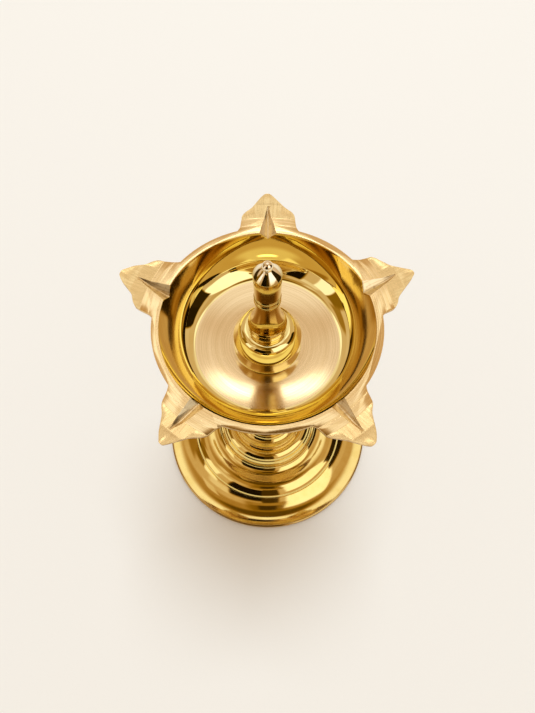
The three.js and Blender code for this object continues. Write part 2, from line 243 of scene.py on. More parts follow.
def put_in_order(piece):
    """Sorts a mesh by its distance from one place, because a cut leaves it in an order that differs by run"""
    bpy.context.scene.cursor.location = OFF_SYMMETRY
    select_only(piece)
    bpy.ops.object.mode_set(mode="EDIT")
    bpy.ops.mesh.select_all(action="SELECT")
    bpy.ops.mesh.sort_elements(type="CURSOR_DISTANCE", elements={"VERT", "EDGE", "FACE"})
    bpy.ops.object.mode_set(mode="OBJECT")


def combine(piece, tool, operation, finish=None):
    """Cuts, trims or joins a piece with another one, which is used up and can leave its faces a finish"""
    if finish:
        tool.data.materials.append(finish)
    select_only(piece)
    bpy.ops.object.modifier_add(type="BOOLEAN")
    modifier = piece.modifiers[-1]
    modifier.operation = operation
    modifier.solver = "EXACT"
    modifier.material_mode = "TRANSFER"
    modifier.object = tool
    bpy.ops.object.modifier_apply(modifier=modifier.name)
    bpy.data.objects.remove(tool)
    put_in_order(piece)
    return piece


def clean(piece):
    """Merges what a cut leaves close together, and joins faces that lie in one plane"""
    select_only(piece)
    bpy.ops.object.mode_set(mode="EDIT")
    bpy.ops.mesh.select_all(action="SELECT")
    bpy.ops.mesh.remove_doubles(threshold=CUT_WELD)
    bpy.ops.mesh.dissolve_limited(angle_limit=math.radians(FLAT_ANGLE))
    weld()
    bpy.ops.object.mode_set(mode="OBJECT")
    put_in_order(piece)


def dress(piece, body, node, finish):
    """Puts a finished piece on its body, in place of its node, with its finish"""
    if finish:
        piece.data.materials.clear()
        piece.data.materials.append(finish)
    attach(piece, body)
    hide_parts(node)
    deselect_all()


class Signal:
    """One output of a node, which takes part in sums as a number does"""

    def __init__(self, tree, socket):
        self.tree = tree
        self.socket = socket

    def _math(self, operation, other, swapped=False):
        first, second = (other, self) if swapped else (self, other)
        return self.tree.node("ShaderNodeMath", {"operation": operation}, {0: first, 1: second})

    def __add__(self, other):
        return self._math("ADD", other)

    def __radd__(self, other):
        return self._math("ADD", other, True)

    def __sub__(self, other):
        return self._math("SUBTRACT", other)

    def __rsub__(self, other):
        return self._math("SUBTRACT", other, True)

    def __mul__(self, other):
        return self._math("MULTIPLY", other)

    def __rmul__(self, other):
        return self._math("MULTIPLY", other, True)

    def __truediv__(self, other):
        return self._math("DIVIDE", other)

    def __rtruediv__(self, other):
        return self._math("DIVIDE", other, True)

    def __pow__(self, other):
        return self._math("POWER", other)

    def __abs__(self):
        return self._math("ABSOLUTE", 0)

    def turn_of(self, other):
        return self._math("ARCTAN2", other)

    def ease(self, low, high):
        """0 below low, 1 above high, and a smooth change between them"""
        return self.tree.node("ShaderNodeMapRange", {"interpolation_type": "SMOOTHSTEP"},
                              {"Value": self, "From Min": low, "From Max": high})


class Tree:
    """Writes the nodes of a material or of the world"""

    def __init__(self, owner):
        owner.use_nodes = True
        self.nodes = owner.node_tree.nodes
        self.links = owner.node_tree.links
        self.nodes.clear()

    def node(self, kind, settings=None, values=None, output=0):
        made = self.nodes.new(kind)
        for name, value in (settings or {}).items():
            setattr(made, name, value)
        for name, value in (values or {}).items():
            if isinstance(value, Signal):
                self.links.new(value.socket, made.inputs[name])
            else:
                made.inputs[name].default_value = value
        return Signal(self, made.outputs[output]) if made.outputs else made

    def vector(self, x, y, z):
        return self.node("ShaderNodeCombineXYZ", None, {0: x, 1: y, 2: z})

    def mix(self, share, first, second):
        return self.node("ShaderNodeMix", {"data_type": "RGBA"}, {0: share, 6: first, 7: second}, 2)

    def shade(self, colour, level):
        """A colour made darker or lighter by a value"""
        return self.node("ShaderNodeVectorMath", {"operation": "SCALE"}, {0: colour, "Scale": level})

    def noise(self, place, scale, detail=2.0):
        return self.node("ShaderNodeTexNoise", None, {"Vector": place, "Scale": scale, "Detail": detail})


class Around:
    """Where a point of a turned piece lies, in millimetres from the axis and in height"""

    def __init__(self, tree):
        place = tree.node("ShaderNodeTexCoord", None, None, "Object")
        split = tree.node("ShaderNodeSeparateXYZ", None, {0: place})
        outputs = split.socket.node.outputs
        self.tree = tree
        self.place = tree.node("ShaderNodeVectorMath", {"operation": "SCALE"}, {0: place, "Scale": 1 / MM})
        self.x, self.y, self.z = (Signal(tree, socket) * (1 / MM) for socket in outputs)
        self.radius = (self.x * self.x + self.y * self.y) ** 0.5
        self.angle = self.y.turn_of(self.x)
        facing = tree.node("ShaderNodeTexCoord", None, None, "Normal")
        faces = tree.node("ShaderNodeSeparateXYZ", None, {0: facing})
        self.upward = Signal(tree, faces.socket.node.outputs[2])

    def rings(self, per_mm, wander=0.0, detail=2.0):
        """Marks that a tool leaves around the axis"""
        place = self.tree.vector(self.radius * per_mm, self.z * per_mm, self.x * wander)
        return self.tree.noise(place, 1.0, detail)

    def rays(self, around, along, detail=2.0):
        """Marks that run outwards from the axis"""
        place = self.tree.vector(self.angle * around, self.radius * along, self.z * along)
        return self.tree.noise(place, 1.0, detail)

    def clouds(self, per_mm, detail=3.0):
        return self.tree.noise(self.place, per_mm, detail)

    def scratches(self, per_mm, turn, width):
        """Thin straight scratches in one direction"""
        c, s = math.cos(turn), math.sin(turn)
        along = self.x * c + self.y * s
        across = self.y * c - self.x * s
        place = self.tree.vector(across * per_mm * 6, along * per_mm * 0.35, self.z * per_mm)
        lines = self.tree.noise(place, 1.0, 0.0)
        return 1 - abs(lines - 0.5).ease(0.0, width)


def metal(tree, colour, roughness, normal):
    """Ends a material with a metal's shader"""
    values = {"Base Color": colour, "Roughness": roughness, "Metallic": 1.0, "Normal": normal}
    shader = tree.node("ShaderNodeBsdfPrincipled", None, values)
    tree.node("ShaderNodeOutputMaterial", None, {"Surface": shader})


def new_finish(name):
    material = bpy.data.materials.new(name)
    return material, Tree(material)


def bump(tree, height, depth):
    """Height is from 0 to 1, and depth is in millimetres"""
    return tree.node("ShaderNodeBump", None, {"Strength": 1.0, "Distance": depth * MM, "Height": height})


# The metal's colours, and the heights in millimetres at which the painted shade on the finial's shaft and the
# painted highlight on its crown start
BRASS = (0.87, 0.68, 0.24, 1.0)
DEEP_BRASS = (0.76, 0.54, 0.13, 1.0)
WALL_BRASS = (0.90, 0.77, 0.34, 1.0)
# Painted shade: the finial's shaft is coloured darker and deeper than its brass
SHAFT_SHADE_BRASS = (0.64, 0.46, 0.13, 1.0)
# Painted highlight: the finial's crown is coloured paler than its brass
CROWN_HIGHLIGHT_BRASS = (0.92, 0.80, 0.56, 1.0)
TARNISH = (0.26, 0.135, 0.03, 1.0)
# Cast brass and darker cast brass, which also carry painted shade on undersides and on the foot's lip
CAST_AND_SHADE_BRASS = (0.70, 0.48, 0.18, 1.0)
DARK_CAST_AND_SHADE = (0.50, 0.32, 0.11, 1.0)
SHAFT_LOW = 152.0
CROWN_LOW = 184.5


def polished_brass(name, blur):
    """Turned and buffed brass with faint rings and clouds. The finial's shaft is painted darker as shade and
    its crown paler as a painted highlight; the foot's lip is painted dark as shade, and faces that look down
    low in the foot are darker cast brass with painted shade.
    """
    if name in bpy.data.materials:
        return bpy.data.materials[name]
    finish, tree = new_finish(name)
    around = Around(tree)
    rings = around.rings(3.2, 0.05, 3.0)
    fine = around.rings(11.0, 0.1, 2.0)
    clouds = around.clouds(0.16, 4.0)
    colour = tree.mix(clouds.ease(0.35, 0.75) * 0.45, BRASS, DEEP_BRASS)
    # Painted shade on the finial's shaft and a painted highlight on its crown, by height
    colour = tree.mix(around.z.ease(SHAFT_LOW, SHAFT_LOW + 1.5), colour, SHAFT_SHADE_BRASS)
    colour = tree.mix(around.z.ease(CROWN_LOW, CROWN_LOW + 2.0), colour, CROWN_HIGHLIGHT_BRASS)
    # Painted shade: the foot's outer lip is coloured dark, standing in for the floor's shadow that it
    # reflects
    lip_shade = around.radius.ease(63.4, 64.6)
    colour = tree.mix(lip_shade * 0.8, colour, DARK_CAST_AND_SHADE)
    # Faces that look down low in the foot are darker cast brass, with painted shade under the foot
    hollow = (1 - around.upward.ease(-0.35, -0.15)) * (1 - around.z.ease(27.0, 28.0))
    colour = tree.mix(hollow, colour, tree.mix(rings.ease(0.35, 0.65), CAST_AND_SHADE_BRASS, DARK_CAST_AND_SHADE))
    waves = around.rings(0.35, 0.06, 1.0)
    roughness = blur + rings.ease(0.3, 0.8) * (0.03 + blur * 0.4) + clouds.ease(0.5, 0.8) * 0.02
    roughness = roughness + hollow * 0.2
    normal = bump(tree, waves + rings * (0.02 + hollow) + fine * 0.006, 0.006)
    metal(tree, colour, roughness, normal)
    return finish


def bowl_brass(props):
    """The bowl's brass: mirror wall, satin turned floor, lathe-faced rim and lands, and filed noses"""
    finish, tree = new_finish("cast_and_turned_brass")
    around = Around(tree)
    radius, z, upward = around.radius, around.z, around.upward
    rim_top = props.rim_height / MM
    floor_edge = rim_top - BOWL_DEPTH
    top = upward.ease(0.8, 0.86) * radius.ease(43.7, 44.0)
    nose = top * radius.ease(52.4, 52.6)
    land = top - nose
    outer_land = land * radius.ease(48.5, 48.7)
    floor_zone = (1 - radius.ease(31.4, 31.9)) * radius.ease(14.7, 15.0)
    floor_zone = floor_zone * (1 - z.ease(floor_edge, floor_edge + 1.0))
    under = 1 - upward.ease(-0.35, -0.15)
    clouds = around.clouds(0.13, 4.0)
    spots = around.clouds(0.9, 2.0)

    facing_marks = around.rings(1.6, 0.02, 3.0)
    fine_marks = around.rings(6.0, 0.04, 2.0)
    satin_marks = around.rings(4.2, 0.02, 4.0)
    file_marks = around.rays(90.0, 0.12, 3.0)
    scratched = around.scratches(0.55, math.radians(35), 0.02) * spots.ease(0.5, 0.6)

    satin = tree.mix(satin_marks.ease(0.35, 0.65) * 0.6, (0.84, 0.66, 0.37, 1), (0.68, 0.50, 0.24, 1))
    faced = tree.mix(facing_marks.ease(0.4, 0.6) * 0.6, (0.93, 0.73, 0.38, 1), (0.76, 0.53, 0.21, 1))
    filed = tree.mix(file_marks.ease(0.3, 0.7) * 0.4, (0.84, 0.65, 0.31, 1), (0.62, 0.42, 0.16, 1))
    wall = tree.mix(clouds.ease(0.4, 0.7) * 0.3, WALL_BRASS, (0.84, 0.68, 0.24, 1))
    # The bowl's underside is darker cast brass, with painted shade under the bowl
    cast_and_shade = tree.mix(clouds.ease(0.3, 0.7), CAST_AND_SHADE_BRASS, DARK_CAST_AND_SHADE)
    colour = tree.mix(under, wall, cast_and_shade)
    colour = tree.mix(floor_zone, colour, satin)
    colour = tree.mix(land, colour, faced)
    colour = tree.mix(nose, colour, filed)
    colour = tree.mix(scratched * top * 0.5, colour, TARNISH)

    roughness = 0.012 + clouds * 0.02
    roughness = roughness + floor_zone * (0.06 + satin_marks * 0.07)
    roughness = roughness + land * (0.10 + facing_marks * 0.10) - outer_land * 0.04
    roughness = roughness + nose * (0.12 + file_marks * 0.14)
    roughness = roughness + under * 0.16
    waves = around.rings(0.3, 0.07, 1.0)
    height = waves * 0.8 + fine_marks * (0.004 + land * 0.02) + floor_zone * satin_marks * 0.04
    height = height + nose * file_marks * 0.25 + land * facing_marks * 0.08
    normal = bump(tree, height, 0.005)
    metal(tree, colour, roughness, normal)
    return finish


def filed_edge():
    """The sides of the spouts and of the rim, drawn over with a file, and painted darker than the top as
    shade on the sides
    """
    finish, tree = new_finish("filed_edge")
    around = Around(tree)
    strokes = tree.noise(tree.vector(around.x * 0.5, around.y * 0.5, around.z * 9.0), 1.0, 2.0)
    clouds = around.clouds(0.4, 3.0)
    # Painted shade: the sides are coloured darker than the top
    colour = tree.mix(clouds.ease(0.35, 0.7), (0.78, 0.52, 0.19, 1), (0.50, 0.29, 0.08, 1))
    metal(tree, colour, 0.16 + strokes * 0.14, bump(tree, strokes, 0.004))
    return finish


def wick_groove():
    """The wick grooves: a triangular file's long strokes, with soot-brown film in places"""
    finish, tree = new_finish("wick_groove")
    around = Around(tree)
    strokes = around.rays(110.0, 0.05, 3.0)
    patches = around.clouds(0.55, 3.0)
    colour = tree.mix(strokes.ease(0.5, 0.7), (0.95, 0.80, 0.48, 1), (0.72, 0.52, 0.24, 1))
    colour = tree.mix(patches.ease(0.55, 0.7) * 0.35, colour, (0.30, 0.18, 0.07, 1))
    metal(tree, colour, 0.26 + strokes * 0.12, bump(tree, strokes, 0.003))
    return finish


def threaded_brass():
    if "cut_thread" in bpy.data.materials:
        return bpy.data.materials["cut_thread"]
    finish, tree = new_finish("cut_thread")
    around = Around(tree)
    worn = around.rings(7.0, 0.3, 3.0)
    clouds = around.clouds(0.5, 3.0)
    colour = tree.mix(clouds.ease(0.35, 0.7), (0.78, 0.56, 0.24, 1), (0.45, 0.29, 0.10, 1))
    metal(tree, colour, 0.24 + worn * 0.16, bump(tree, worn, 0.004))
    return finish


def plain_steel():
    if "dull_steel" in bpy.data.materials:
        return bpy.data.materials["dull_steel"]
    finish, tree = new_finish("dull_steel")
    around = Around(tree)
    marks = around.rings(5.0, 0.4, 3.0)
    clouds = around.clouds(0.6, 4.0)
    colour = tree.mix(clouds.ease(0.4, 0.75), (0.56, 0.55, 0.53, 1), (0.30, 0.27, 0.24, 1))
    metal(tree, colour, 0.28 + clouds * 0.25, bump(tree, marks + clouds, 0.004))
    return finish


class LampSizes(bpy.types.PropertyGroup):
    """Main sizes of the lamp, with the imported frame's as defaults"""

    foot_radius: bpy.props.FloatProperty(
        name="Foot radius", description="Radius of the foot's lip", subtype="DISTANCE", unit="LENGTH",
        default=cad_high("foot").x, precision=5)
    stem_seat: bpy.props.FloatProperty(
        name="Stem seat", description="Height at which the stem stands", subtype="DISTANCE", unit="LENGTH",
        default=cad_low("stem").z, precision=5)
    bowl_seat: bpy.props.FloatProperty(
        name="Bowl seat", description="Height at which the bowl's collar sits", subtype="DISTANCE",
        unit="LENGTH", default=cad_low("oil_bowl").z, precision=5)
    tip_rise: bpy.props.FloatProperty(
        name="Tip rise", description="How far the spouts' tips are bent up above the rim", subtype="DISTANCE",
        unit="LENGTH", default=TIP_RISE * MM, precision=5)
    rim_height: bpy.props.FloatProperty(
        name="Rim height", description="Height of the bowl's flat rim", subtype="DISTANCE", unit="LENGTH",
        default=cad_high("oil_bowl").z - TIP_RISE * MM, precision=5)
    finial_seat: bpy.props.FloatProperty(
        name="Finial seat", description="Height of the boss that the finial stands on", subtype="DISTANCE",
        unit="LENGTH", default=cad_low("finial").z, precision=5)
    edge_round: bpy.props.FloatProperty(
        name="Edge rounding", description="Rounding of the bowl's cut edges", subtype="DISTANCE",
        unit="LENGTH", default=0.00016, precision=5)


class StudioColours(bpy.types.PropertyGroup):
    """Colours of the floor and the surroundings"""

    floor: bpy.props.FloatVectorProperty(
        name="Floor", description="Colour of the pale floor", subtype="COLOR", size=3, min=0, max=1,
        default=(0.915, 0.862, 0.775))
    surround: bpy.props.FloatVectorProperty(
        name="Surroundings", description="Colour behind the floor", subtype="COLOR", size=3, min=0, max=1,
        default=(0.915, 0.862, 0.775))


def sizes():
    return bpy.context.scene.oil_lamp_sizes


def foot_outline(radius):
    """From the resting ring over the lip and the bands up to the crown, and back under them"""
    ring_inside = radius - RESTING_RING
    outline = Outline(ring_inside, 0)
    outline.to(radius, 0).by(0, 1.8, 0).curve((radius, 3.0), (radius - 1.2, 3.0))
    outline.curve((55.4, 2.1), (48.3, 6.1), 0.15)
    outline.by(0, 2.1, 0.3)
    outline.curve((45.5, 13.0), (37.0, 13.0), 0.15)
    outline.cove(-6.8, 4.5, ease=0.15)
    outline.by(-1.05, 0).by(-1.05, 1.5, 0.3)
    outline.curve((26.7, 23.0), (22.7, 23.0))
    outline.by(-0.9, -0.5, 0.15).by(-0.9, 1.0, 0.15)
    outline.by(-0.5, 1.5, 0.3).by(-1.1, 0)
    outline.cove(-4.8, 5.0)
    outline.to(STUD_HOLE, 30).to(STUD_HOLE, 26).to(11.5, 26)
    outline.to(19.7, 20.0, 1.5).to(27.2, 14.5, 1.5).to(34.0, 10.0, 1.5).to(45.3, 4.0, 1.5)
    outline.to(ring_inside, 0)
    return outline


def stem_outline():
    outline = Outline(0, 14.5)
    outline.to(STUD_HOLE, 14.5).to(STUD_HOLE, 0).to(12.9, 0)
    outline.bead(2.6, 0.7).cove(-5.5, 4.4).bead(3.4, 2.3, 0.1).by(0, 0.8, 0.1)
    outline.curve((12.4, 12.5), (12.4, 22.5), 0).curve((12.4, 30.0), (7.4, 36.2), 0.1)
    outline.by(0, 0.8, 0.1).bead(5.0, 3.6, 0.1).by(0, 0.8, 0.1)
    outline.bead(27.1, 1.3, 0.1).bead(3.4, 2.3, 0.1).by(0, 0.8, 0.1)
    outline.cove(4.8, 10.0, False, 0.1).bead(4.0, 1.4)
    height = outline.corners[-1][1]
    outline.to(STUD_HOLE, height).to(STUD_HOLE, height - 10.5).to(0, height - 10.5)
    return outline


def finial_outline():
    outline = Outline(0, 11.5)
    outline.to(FINIAL_HOLE, 11.5).to(FINIAL_HOLE, 0).to(8, 0)
    outline.by(0, 1.9, 0.15).by(-0.5, 0.45, 0.1).by(0.5, 0.45, 0.15).by(0, 1.9, 0.35)
    outline.curve((5.2, 7.8), (4.6, 20.4), 0.08, 20)
    outline.bead(2.5, 0.6, 0.06).by(0, 0.35, 0.06).bead(2.5, 0.6, 0.06).by(0, 0.35, 0.06)
    outline.by(0.4, 0, 0.12).by(0.2, 11.8, 0.25)
    neck, neck_height, ball = 1.7, 41.2, 2.05
    outline.curve((3.6, 39.9), (neck, neck_height), 0.1)
    centre = neck_height + math.sqrt(ball ** 2 - neck ** 2)
    start = math.atan2(neck_height - centre, neck)
    for i in range(1, CURVE_STEPS):
        angle = start + (math.pi / 2 - start) * i / CURVE_STEPS
        outline.to(ball * math.cos(angle), centre + ball * math.sin(angle), 0)
    outline.to(0, centre + ball)
    return outline


def add_inside(outline, rim_top):
    """Walks down the inside of the pan, from the rim's inner edge to the foot of the boss"""
    floor_edge = rim_top - BOWL_DEPTH
    floor = floor_edge - FLOOR_DISH
    outline.to(RIM_INNER, rim_top, 0.18)
    outline.curve((41.35, floor_edge + 8.19), (36.6, floor_edge + 3.1), 0, 20)
    outline.curve((34.1, floor_edge + 0.42), (FLOOR_RADIUS, floor_edge), 0, 14)
    outline.curve((FLOOR_DISH_CORNER, floor), (BOSS_RADIUS, floor), 0.2, 10)
    return floor


def pan_outline(seat, rim_top, tip_rise):
    """The bowl's section: collar, pan, and a brim as wide as the spouts reach, which is cut to their shape"""
    floor_edge = rim_top - BOWL_DEPTH
    under = floor_edge - FLOOR_DISH - FLOOR_THICKNESS
    cove_outside = COVE_OUTER + PAN_WALL
    corner = cove_outside - WALL_LEAN * (COVE_HEIGHT + FLOOR_THICKNESS)
    brim_low = rim_top - RIM_THICKNESS
    slope = (tip_rise - SECOND_BEND_RISE) / (TIP_BEND_END - SECOND_BEND_REACH)
    end_rise = SECOND_BEND_RISE + slope * (PLATE_REACH - SECOND_BEND_REACH)
    outline = Outline(0, seat + 9)
    outline.to(STUD_HOLE, seat + 9).to(STUD_HOLE, seat).to(12.6, seat).by(0, 1.6)
    outline.cove(5.6, 5.4, False).by(0, 2.2).to(20.9, under)
    outline.to(FLOOR_RADIUS - PAN_WALL, floor_edge - FLOOR_THICKNESS, 0)
    outline.curve((corner, floor_edge - FLOOR_THICKNESS), (cove_outside, floor_edge + COVE_HEIGHT), 0, 16)
    outline.to(cove_outside + WALL_LEAN * (BOWL_DEPTH - COVE_HEIGHT - RIM_THICKNESS), brim_low, 0.5)
    outline.to(BEND_REACH, brim_low, 0.4).to(SECOND_BEND_REACH, brim_low + SECOND_BEND_RISE, 0.4)
    outline.to(PLATE_REACH, brim_low + end_rise, 0).to(PLATE_REACH, rim_top + end_rise, 0)
    outline.to(SECOND_BEND_REACH, rim_top + SECOND_BEND_RISE, 0.35)
    outline.to(BEND_REACH, rim_top + FACING_STEP, 0.12)
    outline.to(FACING_REACH + 0.15, rim_top + FACING_STEP, 0.08).to(FACING_REACH, rim_top, 0.08)
    floor = add_inside(outline, rim_top)
    outline.by(0, 8.2, 0.3).by(-2.3, 4.7, 0.2).curve((11.2, floor + 15.2), (8.5, floor + 15.3))
    outline.to(FINIAL_HOLE, floor + 15.3).to(FINIAL_HOLE, floor + 3.3).to(0, floor + 3.3)
    return outline


def below_brim_outline(rim_top):
    """What lies under the middle of the rim and the brim, outside the middle of the pan's wall"""
    middle = rim_top - RIM_THICKNESS / 2
    outer = COVE_OUTER + PAN_WALL / 2
    lift = SECOND_BEND_RISE
    return [
        (outer - 1.5, rim_top - 12), (62, rim_top - 12), (62, middle + lift + 1.2),
        (SECOND_BEND_REACH, middle + lift), (BEND_REACH, middle),
        (outer + WALL_LEAN * (BOWL_DEPTH - COVE_HEIGHT), middle), (outer - 1.5, rim_top - 12),
    ]


# The spouts were filed by hand, so each has its own edges. An edge is given from the rim to the tip as reach
# and distance from the spout's middle line. The tip is given as reach and place to the right.
SPOUTS = (
    {"left": ((46.9, 12.2), (53.2, 11.5), (55.0, 9.9), (56.8, 7.4), (61.9, 3.0)),
     "right": ((46.9, 12.8), (53.2, 12.2), (55.0, 10.9), (56.9, 8.2), (61.9, 3.0)),
     "tip": (63.5, -0.1), "groove": (0.2, 0.0, 2.8, 1.0)},
    {"left": ((47.2, 12.0), (53.4, 10.9), (55.0, 9.3), (57.1, 5.9), (62.6, 2.5)),
     "right": ((47.2, 14.4), (53.4, 13.2), (55.2, 11.7), (57.0, 9.3), (61.0, 6.3), (63.0, 3.9)),
     "tip": (64.6, 0.9), "groove": (-0.4, 10.0, 2.7, 1.0)},
    {"left": ((47.1, 11.3), (51.4, 10.3), (53.0, 9.1), (56.2, 5.4), (62.4, 1.5)),
     "right": ((47.0, 12.9), (51.6, 11.5), (53.2, 10.2), (55.0, 8.2), (60.9, 4.2), (62.8, 2.4)),
     "tip": (64.1, 0.5), "groove": (0.6, 5.0, 2.4, 1.25)},
    {"left": ((46.8, 12.7), (51.3, 11.5), (52.6, 10.4), (54.4, 8.3), (60.6, 4.5), (62.8, 2.6)),
     "right": ((47.2, 11.4), (51.4, 10.7), (52.8, 9.8), (54.9, 7.9), (57.0, 5.9), (62.2, 2.6)),
     "tip": (64.2, -0.1), "groove": (-0.8, 0.0, 2.3, 0.95)},
    {"left": ((46.7, 15.9), (51.8, 15.7), (53.3, 14.3), (57.5, 8.4), (61.0, 5.2), (63.0, 3.4)),
     "right": ((46.5, 11.4), (51.0, 10.8), (53.2, 9.4), (54.7, 6.7), (57.0, 4.9), (62.2, 1.5)),
     "tip": (64.3, -1.3), "groove": (-1.8, -7.0, 2.8, 1.0)},
)


def spout_turn(index):
    return math.radians(FIRST_SPOUT_TURN + 360.0 / SPOUT_COUNT * index)


def spout_place(index, reach, right):
    """Where a point of a spout lies in plan. Right is seen from the axis."""
    turn_angle = spout_turn(index)
    c, s = math.cos(turn_angle), math.sin(turn_angle)
    return reach * c + right * s, reach * s - right * c


def star_loop():
    """The bowl's outline from above: the round rim with the five spouts"""
    corners = []
    for index, spout in enumerate(SPOUTS):
        root = spout["right"][0][1] + 1.1
        entry = math.sqrt(RIM_RADIUS ** 2 - root ** 2)
        corners.append((*spout_place(index, entry, root), 0.8))
        for reach, side in spout["right"]:
            corners.append((*spout_place(index, reach, side), 1.1))
        reach, side = spout["tip"]
        nose_right = spout["right"][-1]
        nose_left = spout["left"][-1]
        corners.append((*spout_place(index, reach, side + 0.35 * (nose_right[1] - side)), 0.9))
        corners.append((*spout_place(index, reach, side - 0.35 * (nose_left[1] + side)), 0.9))
        for reach, side in reversed(spout["left"]):
            corners.append((*spout_place(index, reach, -side), 1.1))
        root = spout["left"][0][1] + 1.1
        leave = math.sqrt(RIM_RADIUS ** 2 - root ** 2)
        corners.append((*spout_place(index, leave, -root), 0.8))
        start = spout_turn(index) + math.atan2(root, leave)
        following = SPOUTS[(index + 1) % SPOUT_COUNT]
        next_root = following["right"][0][1] + 1.1
        end = spout_turn(index + 1) - math.asin(next_root / RIM_RADIUS)
        steps = 28
        for step in range(1, steps):
            angle = start + (end - start) * step / steps
            corners.append((RIM_RADIUS * math.cos(angle), RIM_RADIUS * math.sin(angle), 0))
    return eased(corners, closed=True)


def groove_bar(index, rim_top, wall=0.0):
    """A bar with a rounded V section along a spout, as the file ran. A wall makes it that much larger."""
    centre, slant, depth, bend_depth = SPOUTS[index]["groove"]
    stations = (
        (36.0, -depth - 1.4), (44.0, -depth), (48.5, -0.52 * depth - 0.44 * bend_depth), (52.5, -bend_depth),
        (54.8, 0.575 - 0.66 * bend_depth), (57.2, 0.98), (59.5, 2.9),
    )
    tall = 12.0
    section = [(-tall * GROOVE_SLOPE - wall * 1.3, tall), (-0.45 - wall * 0.9, 0.28 - wall * 0.62)]
    section += [(-0.28 - wall * 0.5, 0.08 - wall * 0.95), (0, -wall)]
    section += [(-side, level) for side, level in reversed(section[:3])]
    turn_angle = spout_turn(index)
    lean = math.radians(slant)

    def place(reach, side, level):
        right = centre + (reach - 44.0) * math.tan(lean) + side
        x, y = spout_place(index, reach, right)
        return Vector((x * MM, y * MM, (rim_top + level) * MM))

    reach, level = stations[0]
    piece = start_line("groove_bar", place(reach, section[0][0], level + section[0][1]))
    draw_on([place(reach, side, level + up) for side, up in section])
    bpy.ops.mesh.select_all(action="SELECT")
    bpy.ops.mesh.edge_face_add()
    bpy.ops.mesh.select_all(action="SELECT")
    for before, after in zip(stations, stations[1:]):
        step = place(after[0], 0, after[1]) - place(before[0], 0, before[1])
        bpy.ops.mesh.extrude_region_move(TRANSFORM_OT_translate={"value": step})
    weld()
    bpy.ops.object.mode_set(mode="OBJECT")
    return piece


def round_edges(piece, width, angle=42.0, segments=2):
    select_only(piece)
    bpy.ops.object.modifier_add(type="BEVEL")
    modifier = piece.modifiers[-1]
    modifier.width = width
    modifier.segments = segments
    modifier.limit_method = "ANGLE"
    modifier.angle_limit = math.radians(angle)
    modifier.use_clamp_overlap = True
    bpy.ops.object.modifier_apply(modifier=modifier.name)


def smooth_by_angle(piece, angle=30.0):
    select_only(piece)
    bpy.ops.object.shade_smooth_by_angle(angle=math.radians(angle))


def threaded_rod(name, radius, pitch, low, high, steps=32):
    """Winds one tooth of the thread up the rod, then cuts the ends flat and chamfers them. In millimetres."""
    root = radius - 0.61 * pitch
    turns = math.ceil((high - low) / pitch) + 3
    start = low - 1.5 * pitch
    tooth = [(root, 0), (root, 0.12 * pitch), (radius, 0.5 * pitch), (radius, 0.62 * pitch), (root, pitch)]
    places = [(r * MM, 0, (start + level) * MM) for r, level in tooth]
    piece = start_line(name, places[0])
    draw_on(places)
    bpy.ops.object.mode_set(mode="OBJECT")
    bpy.ops.object.modifier_add(type="SCREW")
    modifier = piece.modifiers[-1]
    modifier.axis = "Z"
    modifier.screw_offset = pitch * MM
    modifier.iterations = turns
    modifier.steps = steps
    modifier.render_steps = steps
    modifier.use_merge_vertices = True
    modifier.merge_threshold = WELD
    bpy.ops.object.modifier_apply(modifier=modifier.name)
    bpy.ops.object.mode_set(mode="EDIT")
    for level, normal in ((low, (0, 0, -1)), (high, (0, 0, 1))):
        bpy.ops.mesh.select_all(action="SELECT")
        bpy.ops.mesh.bisect(plane_co=(0, 0, level * MM), plane_no=normal, use_fill=True, clear_outer=True)
    weld()
    bpy.ops.object.mode_set(mode="OBJECT")
    ends = Outline(0, low).to(radius - 0.7, low, 0).by(0.8, 0.8, 0).to(radius + 0.1, high - 0.8, 0)
    ends.by(-0.8, 0.8, 0).to(0, high, 0)
    combine(piece, turn(name + "_ends", ends.points(), 0, steps), "INTERSECT")
    smooth_by_angle(piece, 35)
    return piece


class OILLAMP_OT_foot(bpy.types.Operator):
    """Turns the hollow stepped foot"""

    bl_idname = "oillamp.foot"
    bl_label = "Foot"

    def execute(self, context):
        piece = turn("lamp_foot", foot_outline(sizes().foot_radius / MM).points())
        dress(piece, "foot", "foot", polished_brass("dull_turned_brass", 0.05))
        return {"FINISHED"}


class OILLAMP_OT_stem(bpy.types.Operator):
    """Turns the baluster stem"""

    bl_idname = "oillamp.stem"
    bl_label = "Stem"

    def execute(self, context):
        piece = turn("lamp_stem", stem_outline().points(), sizes().stem_seat / MM, SLIM_STEPS)
        dress(piece, "stem", "stem", polished_brass("turned_brass", 0.04))
        return {"FINISHED"}


class OILLAMP_OT_bowl(bpy.types.Operator):
    """Turns the oil bowl with a wide brim, cuts the brim to the spouts' shape and files the grooves"""

    bl_idname = "oillamp.bowl"
    bl_label = "Oil bowl"

    def execute(self, context):
        props = sizes()
        seat, rim_top = props.bowl_seat / MM, props.rim_height / MM
        brass, edge, groove = bowl_brass(props), filed_edge(), wick_groove()
        bowl = turn("lamp_bowl", pan_outline(seat, rim_top, props.tip_rise / MM).points())
        bowl.data.materials.append(brass)
        combine(bowl, prism("spout_outline", star_loop(), seat - 5, rim_top + 12), "INTERSECT", edge)
        below = turn("below_brim", below_brim_outline(rim_top))
        for index in range(SPOUT_COUNT):
            keel = groove_bar(index, rim_top, KEEL_WALL)
            copy = below.copy()
            copy.data = below.data.copy()
            context.scene.collection.objects.link(copy)
            combine(keel, copy, "INTERSECT")
            combine(bowl, keel, "UNION", brass)
        bpy.data.objects.remove(below)
        for index in range(SPOUT_COUNT):
            combine(bowl, groove_bar(index, rim_top), "DIFFERENCE", groove)
        clean(bowl)
        round_edges(bowl, props.edge_round)
        smooth_by_angle(bowl)
        dress(bowl, "bowl", "oil_bowl", None)
        return {"FINISHED"}


